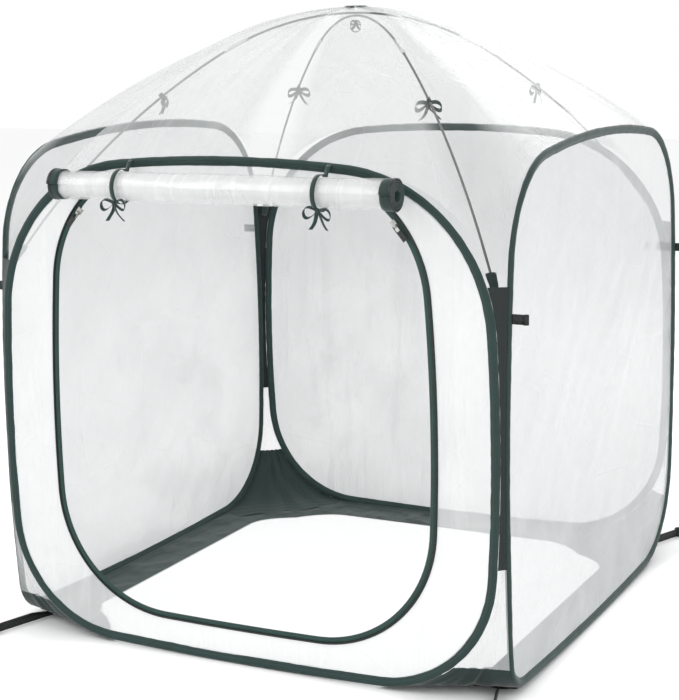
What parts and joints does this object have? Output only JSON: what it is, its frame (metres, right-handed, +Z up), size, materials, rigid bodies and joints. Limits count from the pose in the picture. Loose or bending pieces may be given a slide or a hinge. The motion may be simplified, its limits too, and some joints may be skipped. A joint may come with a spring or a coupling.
{
  "type": "mini pop up greenhouse",
  "caption": "Pop-up greenhouse: clear film walls on sprung hoops, a domed film roof over crossed poles, and a zipped front door rolled up under ribbon ties.",
  "frame": {"origin": "on the ground, under the middle of the floor plan", "axes": "+Z is up, the door faces -Y, +X is to the right of someone who stands in front of the door and looks at it"},
  "size_m": [1.1292, 1.2112, 1.2246],
  "materials": {
    "sleeve_fabric": "woven polyester sleeve and gusset cloth, dark green",
    "clear_film": "clear PVC film with a slight milky haze and fine wrinkles",
    "spring_steel": "bright spring steel band",
    "webbing": "flat woven webbing, near black",
    "ribbon": "narrow woven ribbon, dark green",
    "zip_tape": "woven zip tape, dark green",
    "zip_teeth": "black coil",
    "slider_metal": "nickel plated die casting",
    "pull_paint": "black enamel",
    "pole_glass": "dark pultruded glass fibre",
    "ferrule_steel": "drawn steel tube"
  },
  "bodies": {
    "front_wall": {"front_spring": "spring_steel", "front_joiner": "spring_steel", "front_sleeve": "sleeve_fabric", "front_film": "clear_film", "zip_tape": "zip_tape", "zip_coil": "zip_teeth", "door_tie_left": "ribbon", "door_tie_right": "ribbon", "peg_fl": "webbing", "peg_fr": "webbing", "gore_fl": "clear_film", "gore_fr": "clear_film", "gusset_fl": "sleeve_fabric", "gusset_fr": "sleeve_fabric", "front_seams": "sleeve_fabric", "roof_front": "clear_film", "roof_patch": "sleeve_fabric", "peak_loop": "ribbon", "pole_lower": "pole_glass", "pole_upper": "pole_glass", "pole_ferrules": "ferrule_steel", "pole_ties": "ribbon", "front_pockets": "sleeve_fabric"},
    "right_wall": {"right_spring": "spring_steel", "right_joiner": "spring_steel", "right_sleeve": "sleeve_fabric", "right_film": "clear_film", "skirt_right": "sleeve_fabric", "guy_fr": "webbing", "guy_br": "webbing", "roof_right": "clear_film"},
    "back_wall": {"back_spring": "spring_steel", "back_joiner": "spring_steel", "back_sleeve": "sleeve_fabric", "back_film": "clear_film", "skirt_back": "sleeve_fabric", "peg_bl": "webbing", "peg_br": "webbing", "gore_bl": "clear_film", "gore_br": "clear_film", "gusset_bl": "sleeve_fabric", "gusset_br": "sleeve_fabric", "back_seams": "sleeve_fabric", "roof_back": "clear_film", "back_pockets": "sleeve_fabric"},
    "left_wall": {"left_spring": "spring_steel", "left_joiner": "spring_steel", "left_sleeve": "sleeve_fabric", "left_film": "clear_film", "skirt_left": "sleeve_fabric", "guy_fl": "webbing", "guy_bl": "webbing", "roof_left": "clear_film"},
    "door_roll": {"door_roll_film": "clear_film", "roll_end_tapes": "zip_tape"},
    "slider_left": {"slider_left": "slider_metal"},
    "slider_right": {"slider_right": "slider_metal"},
    "pull_left": {"pull_left": "pull_paint"},
    "pull_right": {"pull_right": "pull_paint"}
  },
  "joints": [
    {"name": "wall_fold", "type": "hinge", "parent": "front_wall", "child": "right_wall", "pos_m": [0.5217, -0.5217, 0.44], "axis": [0, 0, 1], "range_deg": [0, 88], "deforming": ["roof_front", "roof_right", "roof_back", "roof_left", "roof_patch", "peak_loop", "pole_lower", "pole_upper", "pole_ferrules", "pole_ties", "front_pockets", "back_pockets", "front_seams", "back_seams", "gore_fl", "gore_fr", "gore_bl", "gore_br", "gusset_fl", "gusset_fr", "gusset_bl", "gusset_br", "skirt_right", "skirt_back", "skirt_left"]},
    {"name": "back_fold", "type": "hinge", "parent": "right_wall", "child": "back_wall", "pos_m": [0.5217, 0.5217, 0.44], "axis": [0, 0, 1], "range_deg": [-88, 0]},
    {"name": "left_fold", "type": "hinge", "parent": "front_wall", "child": "left_wall", "pos_m": [-0.5217, -0.5217, 0.44], "axis": [0, 0, 1], "range_deg": [0, 88]},
    {"name": "door_unroll", "type": "slide", "parent": "front_wall", "child": "door_roll", "axis": [0, 0, -1], "range_m": [0, 0.78], "deforming": ["door_tie_left", "door_tie_right"]},
    {"name": "zip_left", "type": "hinge", "parent": "front_wall", "child": "slider_left", "pos_m": [-0.15167, -0.5285, 0.69932], "axis": [0, -1, 0], "range_deg": [0, 38]},
    {"name": "zip_right", "type": "hinge", "parent": "front_wall", "child": "slider_right", "pos_m": [0.15167, -0.5285, 0.69932], "axis": [0, 1, 0], "range_deg": [0, 38]},
    {"name": "pull_left_swing", "type": "hinge", "parent": "slider_left", "child": "pull_left", "pos_m": [-0.32966, -0.5345, 0.84345], "axis": [-0.766, 0, 0.6428], "range_deg": [0, 90]},
    {"name": "pull_right_swing", "type": "hinge", "parent": "slider_right", "child": "pull_right", "pos_m": [0.32966, -0.5345, 0.84345], "axis": [-0.766, 0, -0.6428], "range_deg": [0, 90]}
  ],
  "couplings": [
    {"joint": "back_fold", "follows": "wall_fold", "ratio": -1},
    {"joint": "left_fold", "follows": "wall_fold", "ratio": 1}
  ]
}
